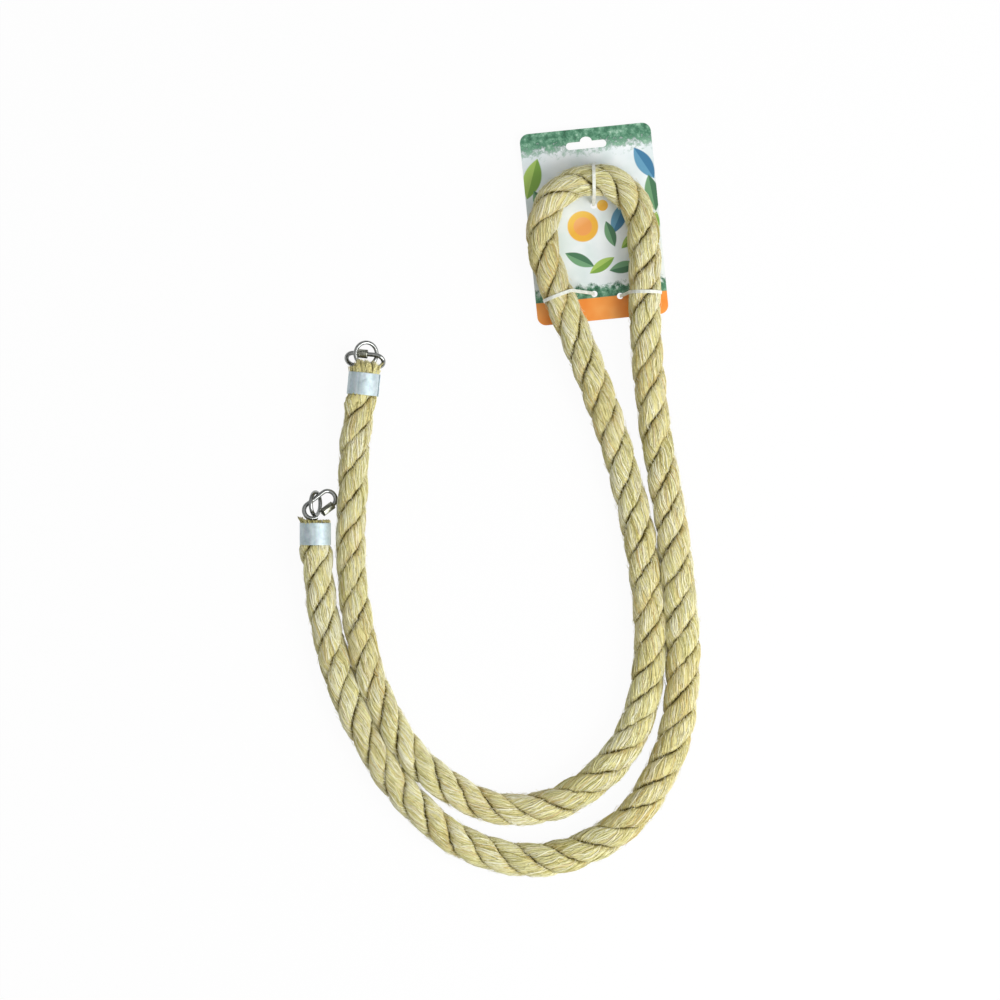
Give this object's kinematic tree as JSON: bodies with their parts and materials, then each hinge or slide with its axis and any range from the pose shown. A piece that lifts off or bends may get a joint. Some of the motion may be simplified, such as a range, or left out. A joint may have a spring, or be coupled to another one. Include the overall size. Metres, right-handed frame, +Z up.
{
  "type": "rope perch",
  "caption": "Thick three-strand sisal rope perch for birds, laid in a loop on its hang card, with a crimped ferrule, a screw eye and a quick link at each end.",
  "frame": {"origin": "middle of the bottom of the bounding box, on the surface that the rope lies on", "axes": "+Z up off the surface, +Y towards the hang card's slot, +X to the right as the card is seen from above"},
  "size_m": [0.314, 0.5931, 0.0301],
  "materials": {
    "sisal": "coarse twisted fibre",
    "zinc_strip": "satin",
    "plated_wire": "bright nickel plate",
    "printed_card": "coated printed board",
    "tie_plastic": "translucent white strip"
  },
  "bodies": {
    "rope_on_card": {"rope_strand_1": "sisal", "rope_strand_2": "sisal", "rope_strand_3": "sisal", "ferrule_a": "zinc_strip", "ferrule_b": "zinc_strip", "screw_eye_a": "plated_wire", "screw_eye_b": "plated_wire", "hang_card": "printed_card", "tie_top": "tie_plastic", "tie_left": "tie_plastic", "tie_right": "tie_plastic"},
    "link_a": {"quick_link_a": "plated_wire"},
    "nut_a": {"sleeve_nut_a": "plated_wire"},
    "link_b": {"quick_link_b": "plated_wire"},
    "nut_b": {"sleeve_nut_b": "plated_wire"}
  },
  "joints": [
    {"name": "link_a_swing", "type": "hinge", "parent": "rope_on_card", "child": "link_a", "pos_m": [-0.0978, 0.11, 0.0092], "axis": [-0.0993, -0.9951, 0], "range_deg": [0, 90]},
    {"name": "nut_a_travel", "type": "slide", "parent": "link_a", "child": "nut_a", "axis": [0.9876, -0.0986, 0.1219], "range_m": [0, 0.004]},
    {"name": "link_b_swing", "type": "hinge", "parent": "rope_on_card", "child": "link_b", "pos_m": [-0.146, -0.0108, 0.0167], "axis": [0, -1, 0], "range_deg": [0, 65]},
    {"name": "nut_b_travel", "type": "slide", "parent": "link_b", "child": "nut_b", "axis": [-0.7228, -0.5587, 0.4067], "range_m": [0, 0.0036]}
  ]
}
